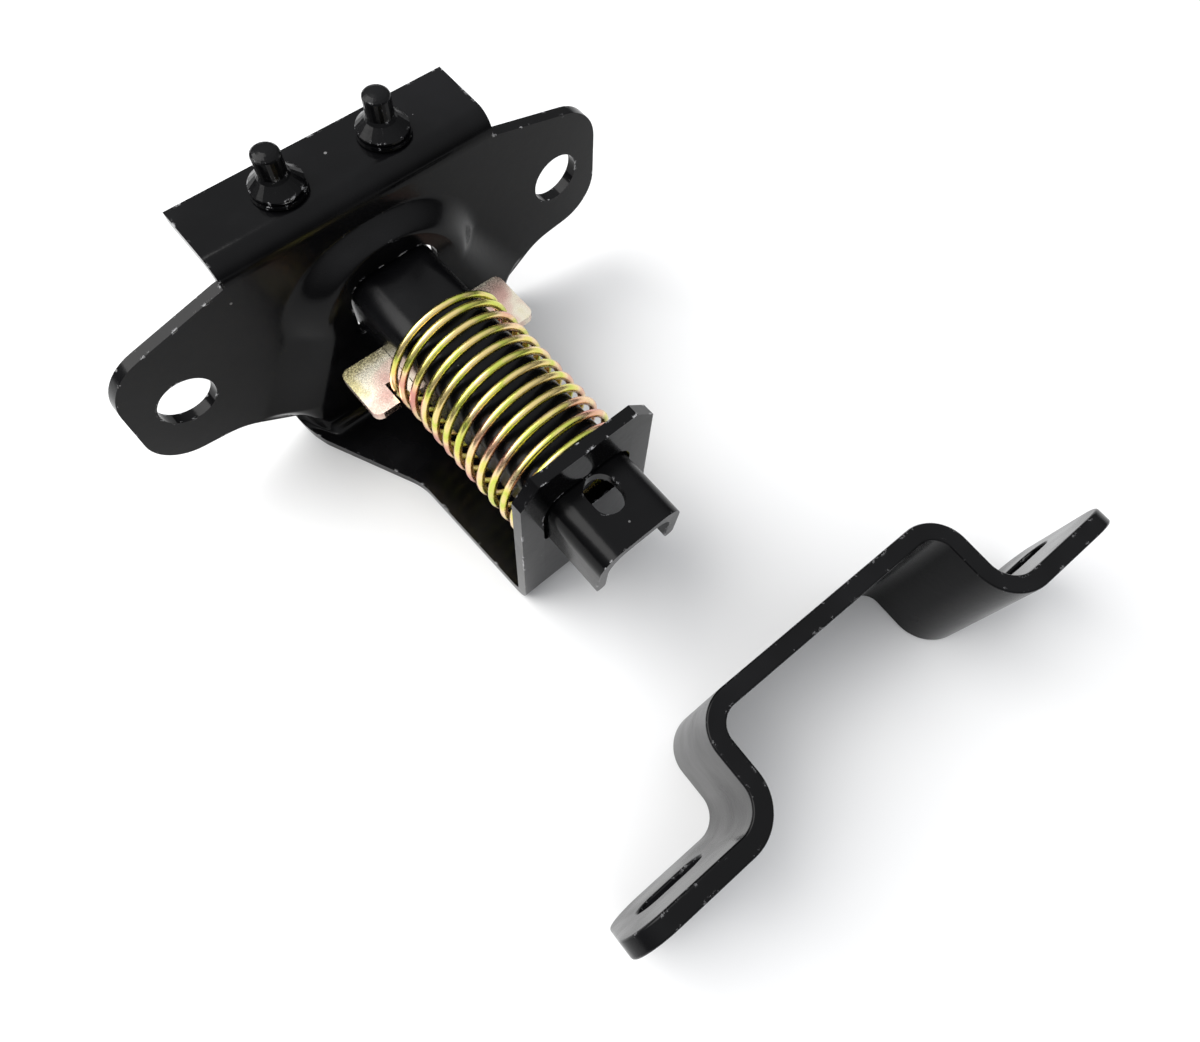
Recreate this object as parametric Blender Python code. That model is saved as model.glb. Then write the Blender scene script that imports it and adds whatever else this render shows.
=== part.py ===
"""Spring-bolt gate latch with its loose hat-shaped striker, resting on a flat surface.

The frame: X runs along the two fixing ears, the bolt's nose points to -Y, and Z is up.
The origin is on the underside of the tongue, on the latch's plane of symmetry.
"""

import math

import bmesh
import bpy
from mathutils import Matrix, Vector

MM = 0.001

# Gaps between pieces that touch or slide
CONTACT_GAP = 0.3 * MM
BOLT_CLEARANCE = 0.6 * MM
STUD_CLEARANCE = 0.3 * MM

# Bracket: one stamping of thick sheet
SHEET = 2.0 * MM
WALL_FRONT_Y = 25.0 * MM
AXIS_Z = 24.6 * MM
HOLE_SPACING = 75.0 * MM
EAR_HOLE_R = 4.75 * MM
EAR_SIDE_MARGIN = 9.3 * MM
EAR_TOP_MARGIN = 11.2 * MM
EAR_BOTTOM_MARGIN = 11.4 * MM
EAR_TOP_CORNER_R = 9.0 * MM
EAR_BOTTOM_CORNER_R = 8.0 * MM
EAR_END_SPLAY_TOP = 0.7 * MM
EAR_END_SPLAY_BOTTOM = 0.4 * MM
EAR_FOOT_DROP = 2.0 * MM
EAR_FOOT_R = 12.0 * MM
FLANGE_WIDTH = 48.6 * MM
FLANGE_DEPTH = 13.5 * MM
FLANGE_HEIGHT = 20.5 * MM
FLANGE_BEND_R = 3.6 * MM
ROOT_BEND_R = 3.0 * MM
ROOT_WIDTH = 48.4 * MM
TONGUE_WIDTH = 26.4 * MM
TONGUE_TAPER_START = 5.7 * MM
TONGUE_TAPER_END = 24.2 * MM
TONGUE_LENGTH = 51.3 * MM
TONGUE_EASE_IN = 1.6 * MM
TONGUE_EASE_IN_R = 6.0 * MM
TONGUE_EASE_OUT = 0.8 * MM
TONGUE_EASE_OUT_R = 12.0 * MM
TONGUE_ROOT_FLARE = 0.28
PLATE_BEND_R = 1.6 * MM
PLATE_HEIGHT = 40.5 * MM
PLATE_CHAMFER = 3.4 * MM
PLATE_TAPER = 0.9 * MM
PLATE_LEAN = 1.2 * MM
PLATE_TOP_LEAN = 1.32 * MM

# Boss drawn forward out of the wall, round the bolt
BOSS_DEPTH = 4.0 * MM
BOSS_FACE_R = 12.6 * MM
BOSS_FOOT_SIDE_R = 19.5 * MM
BOSS_FOOT_TOP_R = 14.6 * MM
BOSS_FACE_FLARE = 0.42
BOSS_FOOT_FLARE = 0.68
BOSS_EDGE_MARGIN = 0.5 * MM
BOSS_MIN_FLANK = 3.5 * MM
BOSS_SPREAD = 29.0 * MM
BOSS_INSET_SHARE = 0.6
BOSS_COLUMNS = 12
EDGE_COLUMNS = 3
CORE_SHARE = 0.8
WALL_ROW_PITCH = 1.6 * MM
FIRST_FLAT_ROW = 1.0 * MM

# Bolt: a channel folded from strip, open downwards
BOLT_WIDTH = 15.8 * MM
BOLT_RISE = 8.2 * MM
BOLT_DROP = 2.8 * MM
GUIDE_FOOT_R = 1.0 * MM
BOLT_CORNER_R = 4.0 * MM
BOLT_WALL = 1.8 * MM
BOLT_REACH = 11.0 * MM
BOLT_TAIL = 9.0 * MM
BOLT_SLOT_WIDTH = 5.0 * MM
BOLT_SLOT_LENGTH = 6.8 * MM
BOLT_SLOT_FROM_NOSE = 5.0 * MM

# Spring
SPRING_BORE_CLEARANCE = 0.47 * MM
SPRING_WIRE_R = 0.65 * MM
SPRING_LENGTH = 33.8 * MM
SPRING_TURNS = 12.25
SPRING_START = math.radians(36)
SPRING_STEPS_PER_TURN = 18
SPRING_FLAT_TURNS = 0.9
SPRING_END_GAP = 0.12 * MM

# Key: a flat plate under the bolt, with two notches that hold the spring's last turns
KEY_LENGTH = 32.6 * MM
KEY_WIDTH = 10.4 * MM
KEY_THICKNESS = 1.6 * MM
KEY_CORNER_R = 1.4 * MM
KEY_BELOW_AXIS = 2.2 * MM
KEY_NOTCH_DEPTH = 4.2 * MM

# Studs on the flange, each on a flat ring
STUD_SPACING = 18.4 * MM
STUD_FROM_REAR = 6.3 * MM
STUD_PIN_R = 2.15 * MM
STUD_HEIGHT = 7.4 * MM
STUD_DOME = 0.8 * MM
STUD_COLLAR_R = 4.1 * MM
STUD_COLLAR_TOP_R = 2.5 * MM
STUD_COLLAR_RISE = 1.5 * MM
STUD_COLLAR_RIM = 0.35 * MM
STUD_HEAD_R = 3.6 * MM
STUD_HEAD_HEIGHT = 1.1 * MM
STUD_HEAD_CHAMFER = 0.6 * MM
STUD_NECK_RISE = 0.5 * MM
RING_R = 4.3 * MM
RING_THICKNESS = 0.6 * MM

# Striker: a hat-shaped strap standing on its edge
STRIKER_SHEET = 2.9 * MM
STRIKER_WIDTH = 29.6 * MM
STRIKER_LENGTH = 99.0 * MM
STRIKER_HAT_WIDTH = 50.6 * MM
STRIKER_HAT_DEPTH = 16.0 * MM
STRIKER_HAT_BEND_R = 3.4 * MM
STRIKER_FOOT_BEND_R = 4.6 * MM
STRIKER_END_R = 7.0 * MM
STRIKER_SLOT_LENGTH = 12.0 * MM
STRIKER_SLOT_WIDTH = 7.0 * MM
STRIKER_SLOT_FROM_END = 10.2 * MM
STRIKER_X = 12.9 * MM
STRIKER_FOOT_Y = -78.6 * MM
STRIKER_TURN = math.radians(-2.2)

ARC_STEPS = 6


# ---------------------------------------------------------------- helpers


def clear_scene():
    for obj in list(bpy.data.objects):
        bpy.data.objects.remove(obj, do_unlink=True)


def paint(name, colour, roughness, metallic):
    """A material with one Principled shader."""
    mat = bpy.data.materials.new(name)
    mat.use_nodes = True
    shader = mat.node_tree.nodes["Principled BSDF"]
    shader.inputs["Base Color"].default_value = (*colour, 1.0)
    shader.inputs["Roughness"].default_value = roughness
    shader.inputs["Metallic"].default_value = metallic
    return mat


def place(name, bm, mat, parent, location=(0.0, 0.0, 0.0), smooth_angle=35.0):
    """Makes a named object of a bmesh, with its normals outward."""
    bmesh.ops.recalc_face_normals(bm, faces=bm.faces)
    mesh = bpy.data.meshes.new(name)
    bm.to_mesh(mesh)
    bm.free()
    mesh.shade_smooth()
    mesh.set_sharp_from_angle(angle=math.radians(smooth_angle))
    obj = bpy.data.objects.new(name, mesh)
    bpy.context.scene.collection.objects.link(obj)
    obj.parent = parent
    obj.location = location
    if mat:
        mesh.materials.append(mat)
    return obj


def empty(name, location, parent=None, turn=0.0):
    obj = bpy.data.objects.new(name, None)
    bpy.context.scene.collection.objects.link(obj)
    obj.location = location
    obj.rotation_euler = (0.0, 0.0, turn)
    obj.parent = parent
    return obj


def cut(obj, cutter):
    """Cuts a helper's shape out of a piece."""
    cutter.hide_render = True
    cutter.display_type = "WIRE"
    modifier = obj.modifiers.new("cut_" + cutter.name, "BOOLEAN")
    modifier.operation = "DIFFERENCE"
    modifier.solver = "EXACT"
    modifier.object = cutter


def rounded_path(corners, steps=ARC_STEPS):
    """Points along straight runs joined by arcs. Each corner is (a, b, radius)."""
    points = []
    for i, (a, b, radius) in enumerate(corners):
        here = Vector((a, b))
        if radius == 0.0 or i in (0, len(corners) - 1):
            points.append(here)
            continue
        back = (Vector(corners[i - 1][:2]) - here).normalized()
        ahead = (Vector(corners[i + 1][:2]) - here).normalized()
        half = back.angle(ahead) / 2
        centre = here + (back + ahead).normalized() * radius / math.sin(half)
        start = here + back * radius / math.tan(half) - centre
        sweep = math.pi - 2 * half
        if start.x * back.y - start.y * back.x > 0:
            sweep = -sweep
        for k in range(steps + 1):
            points.append(centre + Matrix.Rotation(sweep * k / steps, 2) @ start)
    return points


def prism(outline, start, end, axis):
    """A bmesh of a closed outline, pushed from start to end along Y or Z."""
    bm = bmesh.new()
    if axis == "Y":
        verts = [bm.verts.new((p[0], start, p[1])) for p in outline]
        push = Vector((0.0, end - start, 0.0))
    else:
        verts = [bm.verts.new((p[0], p[1], start)) for p in outline]
        push = Vector((0.0, 0.0, end - start))
    face = bm.faces.new(verts)
    moved = bmesh.ops.extrude_face_region(bm, geom=[face])["geom"]
    bmesh.ops.translate(bm, vec=push, verts=[v for v in moved if isinstance(v, bmesh.types.BMVert)])
    return bm


def circle(radius, steps, centre):
    turns = [2 * math.pi * k / steps for k in range(steps)]
    return [(centre[0] + radius * math.cos(turn), centre[1] + radius * math.sin(turn)) for turn in turns]


def obround(length, width, centre, along=0, steps=8):
    """A slot's outline, with half-round ends, long along its first or second axis."""
    points = []
    for end in (0, 1):
        for k in range(steps + 1):
            angle = math.pi * (k / steps - 0.5 + end)
            shift = (length - width) / 2 * (1 - 2 * end)
            run = shift + width / 2 * math.cos(angle)
            side = width / 2 * math.sin(angle)
            offset = (run, side) if along == 0 else (side, run)
            points.append((centre[0] + offset[0], centre[1] + offset[1]))
    return points


def turned(profile, steps):
    """A bmesh of (radius, height) points turned round Z, from the axis back to the axis, or as a closed ring."""
    bm = bmesh.new()
    verts = [bm.verts.new((r, 0.0, z)) for r, z in profile]
    ring = list(zip(verts, verts[1:]))
    if profile[0][0] > 0.0:
        ring.append((verts[-1], verts[0]))
    edges = [bm.edges.new(pair) for pair in ring]
    bmesh.ops.spin(
        bm, geom=verts + edges, cent=(0, 0, 0), axis=(0, 0, 1), angle=2 * math.pi, steps=steps, use_merge=False
    )
    bmesh.ops.remove_doubles(bm, verts=bm.verts, dist=0.00001)
    return bm


def smooth_step(t):
    t = min(max(t, 0.0), 1.0)
    return t * t * (3 - 2 * t)


# ---------------------------------------------------------------- bracket

EAR_HOLE_X = HOLE_SPACING / 2
EAR_END_X = EAR_HOLE_X + EAR_SIDE_MARGIN
FLANGE_TOP_Z = AXIS_Z + FLANGE_HEIGHT
PLATE_BACK_Y = WALL_FRONT_Y - TONGUE_LENGTH + PLATE_LEAN
PLATE_FRONT_Y = WALL_FRONT_Y - TONGUE_LENGTH - SHEET
WALL_TOP_Z = FLANGE_TOP_Z - FLANGE_BEND_R
WALL_FOOT_Z = SHEET + ROOT_BEND_R


def ear_outline():
    """(half width, height) down one side of the wall: notch, ear and root."""
    return rounded_path(
        [
            (FLANGE_WIDTH / 2, WALL_TOP_Z, 0.0),
            (EAR_END_X - EAR_END_SPLAY_TOP, AXIS_Z + EAR_TOP_MARGIN, EAR_TOP_CORNER_R),
            (EAR_END_X + EAR_END_SPLAY_BOTTOM, AXIS_Z - EAR_BOTTOM_MARGIN, EAR_BOTTOM_CORNER_R),
            (EAR_HOLE_X - EAR_HOLE_R, AXIS_Z - EAR_BOTTOM_MARGIN - EAR_FOOT_DROP, EAR_FOOT_R),
            (ROOT_WIDTH / 2, WALL_FOOT_Z, 0.0),
        ]
    )


def boss_lift(x, z, edge, inset):
    """How far the boss stands forward at a point of the wall, from 0 to BOSS_DEPTH.
    The sheet's rear face is inset, so that the flank keeps its thickness."""
    up = z - AXIS_Z
    if up >= 0:
        reach = math.hypot(x, up)
        rise = (up / reach) ** 2 if reach > 0 else 1.0
        face = BOSS_FACE_R
        foot = BOSS_FOOT_SIDE_R + (BOSS_FOOT_TOP_R - BOSS_FOOT_SIDE_R) * rise
    else:
        reach = abs(x)
        foot = min(BOSS_FOOT_SIDE_R - up * BOSS_FOOT_FLARE, edge - BOSS_EDGE_MARGIN)
        face = min(BOSS_FACE_R - up * BOSS_FACE_FLARE, foot - BOSS_MIN_FLANK)
    return BOSS_DEPTH * (1 - smooth_step((reach + inset - face) / (foot - face)))


def bracket_rows():
    """Rows across the sheet's upper or front face, from the flange's rear edge to the plate's top.
    Each row is (y behind the wall's front face, z, half width)."""
    rows = [(FLANGE_DEPTH, FLANGE_TOP_Z, FLANGE_WIDTH / 2)]
    for k in range(ARC_STEPS):
        angle = math.pi / 2 * k / ARC_STEPS
        rows.append(
            (
                FLANGE_BEND_R * (1 - math.sin(angle)),
                WALL_TOP_Z + FLANGE_BEND_R * math.cos(angle),
                FLANGE_WIDTH / 2,
            )
        )
    outline = ear_outline()
    for before, here in zip([None] + outline, outline):
        steps = 1
        if before is not None:
            steps = max(1, math.ceil((before - here).y / WALL_ROW_PITCH))
        for k in range(1, steps + 1):
            point = here if before is None else before.lerp(here, k / steps)
            rows.append((0.0, point.y, point.x))
    half = TONGUE_WIDTH / 2
    taper = rounded_path(
        [
            (ROOT_WIDTH / 2, 0.0, 0.0),
            (ROOT_WIDTH / 2 - TONGUE_EASE_IN, TONGUE_TAPER_START, TONGUE_EASE_IN_R),
            (half + TONGUE_EASE_OUT, TONGUE_TAPER_END, TONGUE_EASE_OUT_R),
            (half, TONGUE_LENGTH - PLATE_BEND_R, 0.0),
        ]
    )
    for k in range(1, ARC_STEPS + 1):
        angle = math.pi / 2 * k / ARC_STEPS
        y = -ROOT_BEND_R * (1 - math.cos(angle))
        z = WALL_FOOT_Z - ROOT_BEND_R * math.sin(angle)
        rows.append((y, z, ROOT_WIDTH / 2 + TONGUE_ROOT_FLARE * y))
    for point in taper:
        if point.y > ROOT_BEND_R + FIRST_FLAT_ROW:
            rows.append((-point.y, SHEET, point.x))
    for k in range(1, ARC_STEPS + 1):
        angle = math.pi / 2 * k / ARC_STEPS
        rows.append(
            (
                -TONGUE_LENGTH + PLATE_BEND_R * (1 - math.sin(angle)),
                SHEET + PLATE_BEND_R * (1 - math.cos(angle)),
                half,
            )
        )
    top = half - PLATE_TAPER
    rows.append((PLATE_LEAN - TONGUE_LENGTH, PLATE_HEIGHT - PLATE_CHAMFER, top))
    rows.append((PLATE_TOP_LEAN - TONGUE_LENGTH, PLATE_HEIGHT, top - PLATE_CHAMFER))
    return rows


def row_normals(rows):
    """The direction from the sheet's upper or front face to its other face, at each row,
    lengthened at a bend so that the sheet keeps its thickness."""
    normals = []
    for k in range(len(rows)):
        sides = []
        for before, after in ((k - 1, k), (k, k + 1)):
            if before >= 0 and after < len(rows):
                run = (Vector(rows[after][:2]) - Vector(rows[before][:2])).normalized()
                sides.append(Vector((-run.y, run.x)))
        mean = sum(sides, Vector((0.0, 0.0))).normalized()
        normals.append(mean / mean.dot(sides[0]))
    return normals


def row_places(half):
    """X positions across a row: closely spaced over the boss, wider outside it."""
    core = min(BOSS_SPREAD, half * CORE_SHARE)
    side = [core * k / BOSS_COLUMNS for k in range(1, BOSS_COLUMNS + 1)]
    side += [core + (half - core) * k / EDGE_COLUMNS for k in range(1, EDGE_COLUMNS + 1)]
    return [-x for x in reversed(side)] + [0.0] + side


def guide_outline():
    """The arched hole that the bolt slides in, as (x, z), the same in the boss and the plate."""
    half = BOLT_WIDTH / 2 + BOLT_CLEARANCE
    top = AXIS_Z + BOLT_RISE + BOLT_CLEARANCE
    bottom = AXIS_Z - BOLT_DROP - BOLT_CLEARANCE
    arch = BOLT_CORNER_R + BOLT_CLEARANCE
    corners = [(0.0, bottom, 0.0), (half, bottom, GUIDE_FOOT_R), (half, top, arch)]
    corners += [(-half, top, arch), (-half, bottom, GUIDE_FOOT_R), (0.0, bottom, 0.0)]
    return rounded_path(corners)[:-1]


def make_bracket(parent, black):
    """Both faces of the sheet, row by row, closed round its sheared edge, then pierced."""
    bm = bmesh.new()
    fade = TONGUE_TAPER_END - ROOT_BEND_R
    rows = bracket_rows()
    faces = []
    for depth in (0.0, SHEET):
        grid = []
        for (y, z, half), normal in zip(rows, row_normals(rows)):
            line = []
            for x in row_places(half):
                lift = 0.0
                if -TONGUE_TAPER_END < y <= 0.0 and z <= WALL_TOP_Z:
                    lift = boss_lift(x, z, half, depth * BOSS_INSET_SHARE)
                    lift *= 1 - smooth_step((-y - ROOT_BEND_R) / fade)
                line.append(bm.verts.new((x, y + normal.x * depth - lift, z + normal.y * depth)))
            grid.append(line)
        faces.append(grid)
        for upper, lower in zip(grid, grid[1:]):
            for k in range(len(upper) - 1):
                bm.faces.new((upper[k], lower[k], lower[k + 1], upper[k + 1]))
    front, rear = faces
    rims = [(front[0], rear[0]), (front[-1], rear[-1])]
    rims += [([line[k] for line in front], [line[k] for line in rear]) for k in (0, -1)]
    for near, far in rims:
        for k in range(len(near) - 1):
            bm.faces.new((near[k], near[k + 1], far[k + 1], far[k]))
    bmesh.ops.dissolve_limit(bm, angle_limit=math.radians(0.2), verts=bm.verts, edges=bm.edges)
    bracket = place("bracket", bm, black, parent)
    ears = [circle(EAR_HOLE_R, 32, (side * EAR_HOLE_X, AXIS_Z)) for side in (-1, 1)]
    for name, outline in zip(("ear_hole_left", "ear_hole_right"), ears):
        cut(bracket, place(name, prism(outline, -SHEET, 2 * SHEET, "Y"), None, parent))
    guide = guide_outline()
    cut(bracket, place("boss_hole", prism(guide, -2 * BOSS_DEPTH, 2 * SHEET, "Y"), None, parent))
    front = -TONGUE_LENGTH
    cut(bracket, place("plate_hole", prism(guide, front - 2 * SHEET, front + SHEET, "Y"), None, parent))
    for name, side in (("stud_hole_left", -1), ("stud_hole_right", 1)):
        spot = (side * STUD_SPACING / 2, FLANGE_DEPTH - STUD_FROM_REAR)
        outline = circle(STUD_PIN_R + STUD_CLEARANCE, 24, spot)
        bm = prism(outline, FLANGE_TOP_Z - 2 * SHEET, FLANGE_TOP_Z + SHEET, "Z")
        cut(bracket, place(name, bm, None, parent))
    return bracket


# ---------------------------------------------------------------- bolt, key and spring

NOSE_Y = PLATE_FRONT_Y - BOLT_REACH
SPRING_FRONT_Y = PLATE_BACK_Y + CONTACT_GAP
SPRING_REAR_Y = SPRING_FRONT_Y + SPRING_LENGTH
KEY_SEAT_Y = SPRING_REAR_Y + CONTACT_GAP
KEY_FRONT_Y = KEY_SEAT_Y - KEY_NOTCH_DEPTH
KEY_REAR_Y = KEY_FRONT_Y + KEY_WIDTH
KEY_LOW = -KEY_BELOW_AXIS - KEY_THICKNESS / 2
KEY_HIGH = -KEY_BELOW_AXIS + KEY_THICKNESS / 2
BOLT_CORNER_REACH = BOLT_CORNER_R + math.hypot(BOLT_WIDTH / 2 - BOLT_CORNER_R, BOLT_RISE - BOLT_CORNER_R)
SPRING_INNER_R = BOLT_CORNER_REACH + SPRING_BORE_CLEARANCE
SPRING_OUTER_R = SPRING_INNER_R + 2 * SPRING_WIRE_R


def channel_outline():
    """The bolt's section about its axis, open at the bottom."""
    half = BOLT_WIDTH / 2
    outer = rounded_path(
        [
            (-half, -BOLT_DROP, 0.0),
            (-half, BOLT_RISE, BOLT_CORNER_R),
            (half, BOLT_RISE, BOLT_CORNER_R),
            (half, -BOLT_DROP, 0.0),
        ]
    )
    inner = rounded_path(
        [
            (half - BOLT_WALL, -BOLT_DROP, 0.0),
            (half - BOLT_WALL, BOLT_RISE - BOLT_WALL, BOLT_CORNER_R - BOLT_WALL),
            (BOLT_WALL - half, BOLT_RISE - BOLT_WALL, BOLT_CORNER_R - BOLT_WALL),
            (BOLT_WALL - half, -BOLT_DROP, 0.0),
        ]
    )
    return outer + inner


def make_bolt(parent, black):
    rear = WALL_FRONT_Y + BOLT_TAIL
    bolt = place("bolt", prism(channel_outline(), NOSE_Y, rear, "Y"), black, parent)
    centre = (0.0, NOSE_Y + BOLT_SLOT_FROM_NOSE + BOLT_SLOT_LENGTH / 2)
    slot = prism(obround(BOLT_SLOT_LENGTH, BOLT_SLOT_WIDTH, centre, along=1), 0.0, 2 * BOLT_RISE, "Z")
    cut(bolt, place("bolt_slot", slot, None, parent))
    low_y = KEY_FRONT_Y - CONTACT_GAP
    high_y = KEY_REAR_Y + CONTACT_GAP
    seat = [(-BOLT_WIDTH, low_y), (BOLT_WIDTH, low_y), (BOLT_WIDTH, high_y), (-BOLT_WIDTH, high_y)]
    cut(bolt, place("key_seat", prism(seat, -2 * BOLT_RISE, KEY_HIGH + CONTACT_GAP, "Z"), None, parent))
    return bolt


def make_key(parent, zinc):
    """The spring's wire passes down through the notches, clear of both their sides."""
    end = KEY_LENGTH / 2
    inner = math.sqrt(SPRING_INNER_R**2 - KEY_LOW**2) - CONTACT_GAP
    outer = math.sqrt(SPRING_OUTER_R**2 - KEY_HIGH**2) + CONTACT_GAP
    half = [
        (0.0, KEY_REAR_Y, 0.0),
        (end, KEY_REAR_Y, KEY_CORNER_R),
        (end, KEY_FRONT_Y, KEY_CORNER_R),
        (outer, KEY_FRONT_Y, 0.0),
        (outer, KEY_SEAT_Y, 0.0),
        (inner, KEY_SEAT_Y, 0.0),
        (inner, KEY_FRONT_Y, 0.0),
        (0.0, KEY_FRONT_Y, 0.0),
    ]
    outline = rounded_path(half, steps=4)
    outline += [Vector((-p.x, p.y)) for p in reversed(outline[1:-1])]
    return place("cross_key", prism(outline, KEY_LOW, KEY_HIGH, "Z"), zinc, parent)


def make_spring(parent, zinc):
    """A coil with its last turn at each end laid flat."""
    radius = SPRING_OUTER_R - SPRING_WIRE_R
    travel = SPRING_LENGTH - 2 * SPRING_WIRE_R
    steps = round(SPRING_TURNS * SPRING_STEPS_PER_TURN)
    curve = bpy.data.curves.new("spring", "CURVE")
    curve.dimensions = "3D"
    curve.bevel_depth = SPRING_WIRE_R
    curve.bevel_resolution = 1
    curve.use_fill_caps = True
    spline = curve.splines.new("POLY")
    spline.points.add(steps)
    flat = SPRING_FLAT_TURNS
    end_rise = 2 * SPRING_WIRE_R + SPRING_END_GAP
    body_turns = SPRING_TURNS - 2 * flat
    for k in range(steps + 1):
        turn = SPRING_TURNS * k / steps
        angle = SPRING_START - 2 * math.pi * turn
        if turn < flat:
            rise = end_rise * turn / flat
        elif turn > SPRING_TURNS - flat:
            rise = travel - end_rise * (SPRING_TURNS - turn) / flat
        else:
            rise = end_rise + (travel - 2 * end_rise) * (turn - flat) / body_turns
        y = SPRING_FRONT_Y + SPRING_WIRE_R + rise
        spline.points[k].co = (radius * math.cos(angle), y, radius * math.sin(angle), 1.0)
    curve.materials.append(zinc)
    obj = bpy.data.objects.new("spring", curve)
    bpy.context.scene.collection.objects.link(obj)
    obj.parent = parent
    return obj


# ---------------------------------------------------------------- studs


def make_stud(side, parent, black):
    """A headed pin pressed through the flange, with its coned collar on a flat ring."""
    word = "left" if side < 0 else "right"
    low = CONTACT_GAP
    ring_top = low + RING_THICKNESS
    collar = ring_top + CONTACT_GAP
    cone = collar + STUD_COLLAR_RIM
    neck = cone + STUD_COLLAR_RISE
    tail = -SHEET - CONTACT_GAP
    dome = [
        (STUD_PIN_R * math.cos(a), STUD_HEIGHT - STUD_DOME + STUD_DOME * math.sin(a))
        for a in (math.pi / 2 * k / 5 for k in range(5, 0, -1))
    ]
    profile = [(0.0, STUD_HEIGHT)] + dome[1:] + [
        (STUD_PIN_R, STUD_HEIGHT - STUD_DOME),
        (STUD_PIN_R, neck + STUD_NECK_RISE),
        (STUD_COLLAR_TOP_R, neck),
        (STUD_COLLAR_R, cone),
        (STUD_COLLAR_R, collar),
        (STUD_PIN_R, collar),
        (STUD_PIN_R, tail),
        (STUD_HEAD_R, tail),
        (STUD_HEAD_R - STUD_HEAD_CHAMFER, tail - STUD_HEAD_HEIGHT),
        (0.0, tail - STUD_HEAD_HEIGHT),
    ]
    spot = (side * STUD_SPACING / 2, FLANGE_DEPTH - STUD_FROM_REAR, FLANGE_TOP_Z)
    stud = place("stud_" + word, turned(profile, 24), black, parent, spot)
    bore = STUD_PIN_R + STUD_CLEARANCE
    ring = [(bore, ring_top), (RING_R, ring_top), (RING_R, low), (bore, low)]
    washer = place("stud_ring_" + word, turned(ring, 24), black, parent, spot)
    return stud, washer


# ---------------------------------------------------------------- striker


def make_striker(parent, black):
    """The strap's hat profile, pushed up from the surface, with its ends rounded and slotted."""
    hat = STRIKER_HAT_WIDTH / 2
    end = STRIKER_LENGTH / 2
    foot = -STRIKER_SHEET
    top = STRIKER_HAT_DEPTH
    inner_hat = STRIKER_HAT_BEND_R
    inner_foot = STRIKER_FOOT_BEND_R
    front = rounded_path(
        [
            (-end, 0.0, 0.0),
            (-hat, 0.0, inner_foot),
            (-hat, top, inner_hat + STRIKER_SHEET),
            (hat, top, inner_hat + STRIKER_SHEET),
            (hat, 0.0, inner_foot),
            (end, 0.0, 0.0),
        ]
    )
    inside = hat - STRIKER_SHEET
    back = rounded_path(
        [
            (end, foot, 0.0),
            (inside, foot, inner_foot + STRIKER_SHEET),
            (inside, top - STRIKER_SHEET, inner_hat),
            (-inside, top - STRIKER_SHEET, inner_hat),
            (-inside, foot, inner_foot + STRIKER_SHEET),
            (-end, foot, 0.0),
        ]
    )
    striker = place("striker", prism(front + back, 0.0, STRIKER_WIDTH, "Z"), black, parent)
    for word, side in (("left", -1), ("right", 1)):
        centre = (side * (end - STRIKER_SLOT_FROM_END), STRIKER_WIDTH / 2)
        slot = prism(obround(STRIKER_SLOT_LENGTH, STRIKER_SLOT_WIDTH, centre), 2 * foot, -foot, "Y")
        cut(striker, place("striker_slot_" + word, slot, None, parent))
        for level, up in (("low", 0.0), ("high", 1.0)):
            corner = rounded_path(
                [
                    (side * (end - STRIKER_END_R), up * STRIKER_WIDTH, 0.0),
                    (side * end, up * STRIKER_WIDTH, STRIKER_END_R),
                    (side * end, STRIKER_WIDTH / 2, 0.0),
                ]
            )
            past = STRIKER_SHEET / 2 * (2 * up - 1)
            outline = [corner[1], *corner[2:-2], corner[-2]]
            outline += [
                Vector((side * (end + STRIKER_SHEET), corner[-2].y)),
                Vector((side * (end + STRIKER_SHEET), up * STRIKER_WIDTH + past)),
                Vector((corner[1].x, up * STRIKER_WIDTH + past)),
            ]
            bm = prism(outline, 2 * foot, -foot, "Y")
            cut(striker, place("striker_end_" + word + "_" + level, bm, None, parent))
    return striker


def main():
    clear_scene()
    black = paint("black_paint", (0.006, 0.006, 0.007), 0.25, 0.0)
    zinc = paint("yellow_zinc", (0.78, 0.66, 0.34), 0.28, 1.0)
    latch = empty("latch_frame", (0.0, WALL_FRONT_Y, 0.0))
    axis = empty("bolt_axis", (0.0, 0.0, AXIS_Z))
    strap = empty("striker_frame", (STRIKER_X, STRIKER_FOOT_Y, 0.0), turn=STRIKER_TURN)
    make_bracket(latch, black)
    for side in (-1, 1):
        make_stud(side, latch, black)
    make_bolt(axis, black)
    make_key(axis, zinc)
    make_spring(axis, zinc)
    make_striker(strap, black)


main()
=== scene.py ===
"""Gate latch and its striker lying on a pale table, dressed with their paint, plating and springs."""

import math

import bmesh
import bpy
from mathutils import Matrix, Vector


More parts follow.
